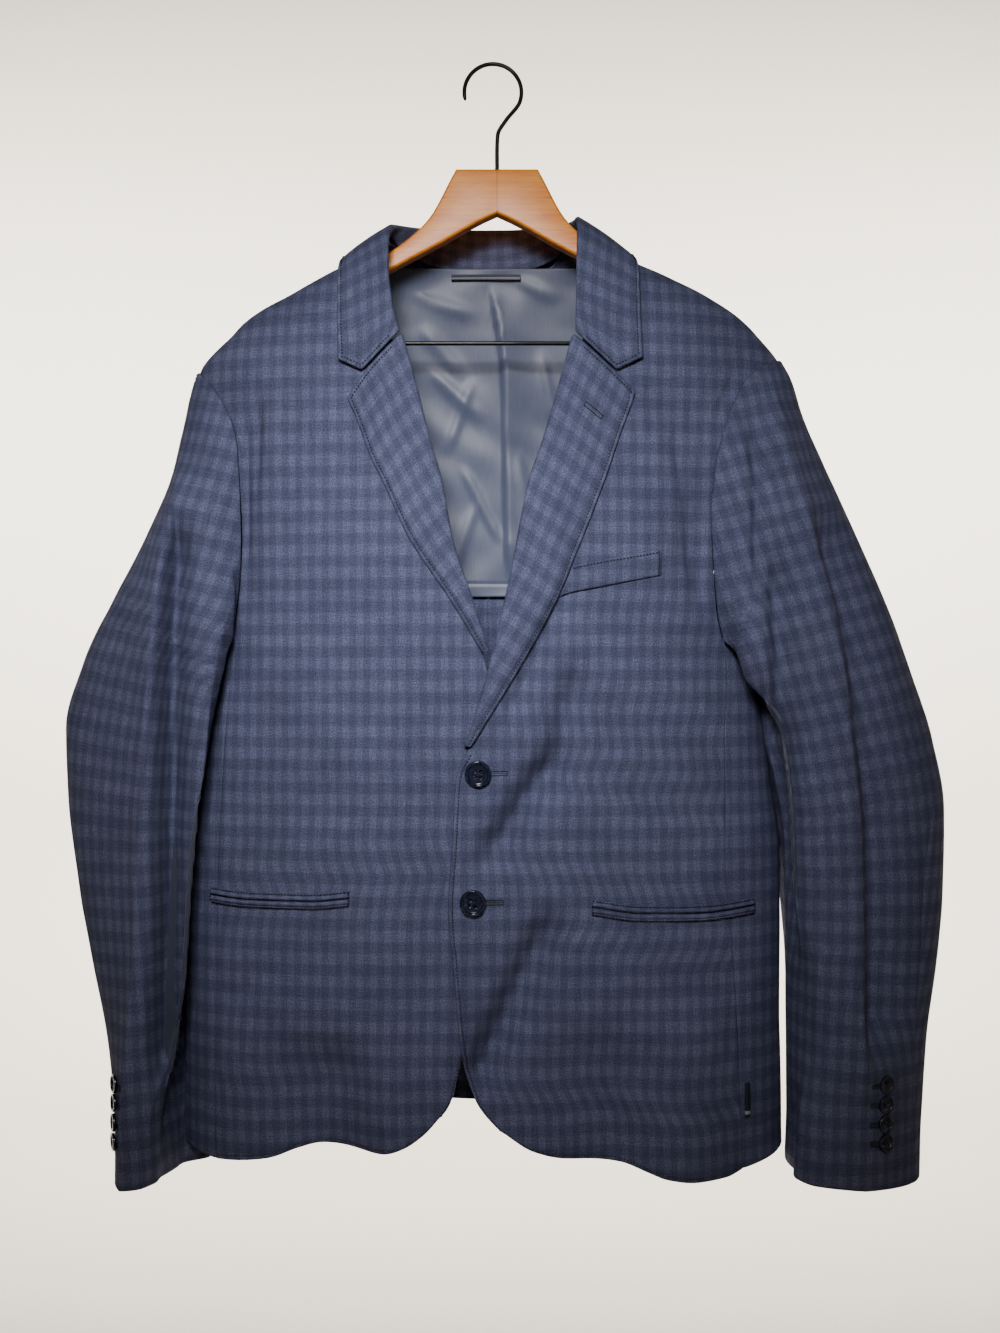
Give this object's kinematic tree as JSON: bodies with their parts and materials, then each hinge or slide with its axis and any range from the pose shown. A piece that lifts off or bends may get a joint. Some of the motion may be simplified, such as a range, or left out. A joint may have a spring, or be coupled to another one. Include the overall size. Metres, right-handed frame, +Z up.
{
  "type": "single breasted blazer on a hanger",
  "caption": "Navy check wool single breasted blazer with notch lapels, flapless jetted hip pockets and a welt breast pocket, buttoned, hanging on a wooden hanger with a black wire hook.",
  "frame": {"origin": "The underside of the top of the hanger's wire hook, where it bears on a rail or peg.", "axes": "+Z up along the hanging garment, -Y out of its front, +X towards the wearer's left sleeve."},
  "size_m": [0.7254, 0.1367, 0.9275],
  "materials": {
    "wool": "worsted wool with a tonal check, soft",
    "lining": "satin viscose",
    "tab": "woven tape",
    "button": "polished polyester resin",
    "beech": "satin varnish",
    "black_steel": "satin black coat"
  },
  "bodies": {
    "root": {"front_right": "wool", "front_left": "wool", "side_right": "wool", "side_left": "wool", "back_right": "wool", "back_left": "wool", "top_sleeve_right": "wool", "under_sleeve_right": "wool", "top_sleeve_left": "wool", "top_sleeve_left_forearm": "wool", "under_sleeve_left": "wool", "under_sleeve_left_forearm": "wool", "collar": "wool", "lapel_right": "wool", "lapel_left": "wool", "breast_welt": "wool", "hip_welt_upper_right": "wool", "hip_welt_lower_right": "wool", "hip_welt_upper_left": "wool", "hip_welt_lower_left": "wool", "back_lining": "lining", "hanger_loop": "lining", "side_tab": "tab", "button_front_top": "button", "button_front_low": "button", "cuff_button_right_1": "button", "cuff_button_right_2": "button", "cuff_button_right_3": "button", "cuff_button_right_4": "button", "cuff_button_left_1": "button", "cuff_button_left_2": "button", "cuff_button_left_3": "button", "cuff_button_left_4": "button", "hanger_wood": "beech", "hanger_bar": "black_steel", "hanger_hook": "black_steel"}
  },
  "joints": []
}
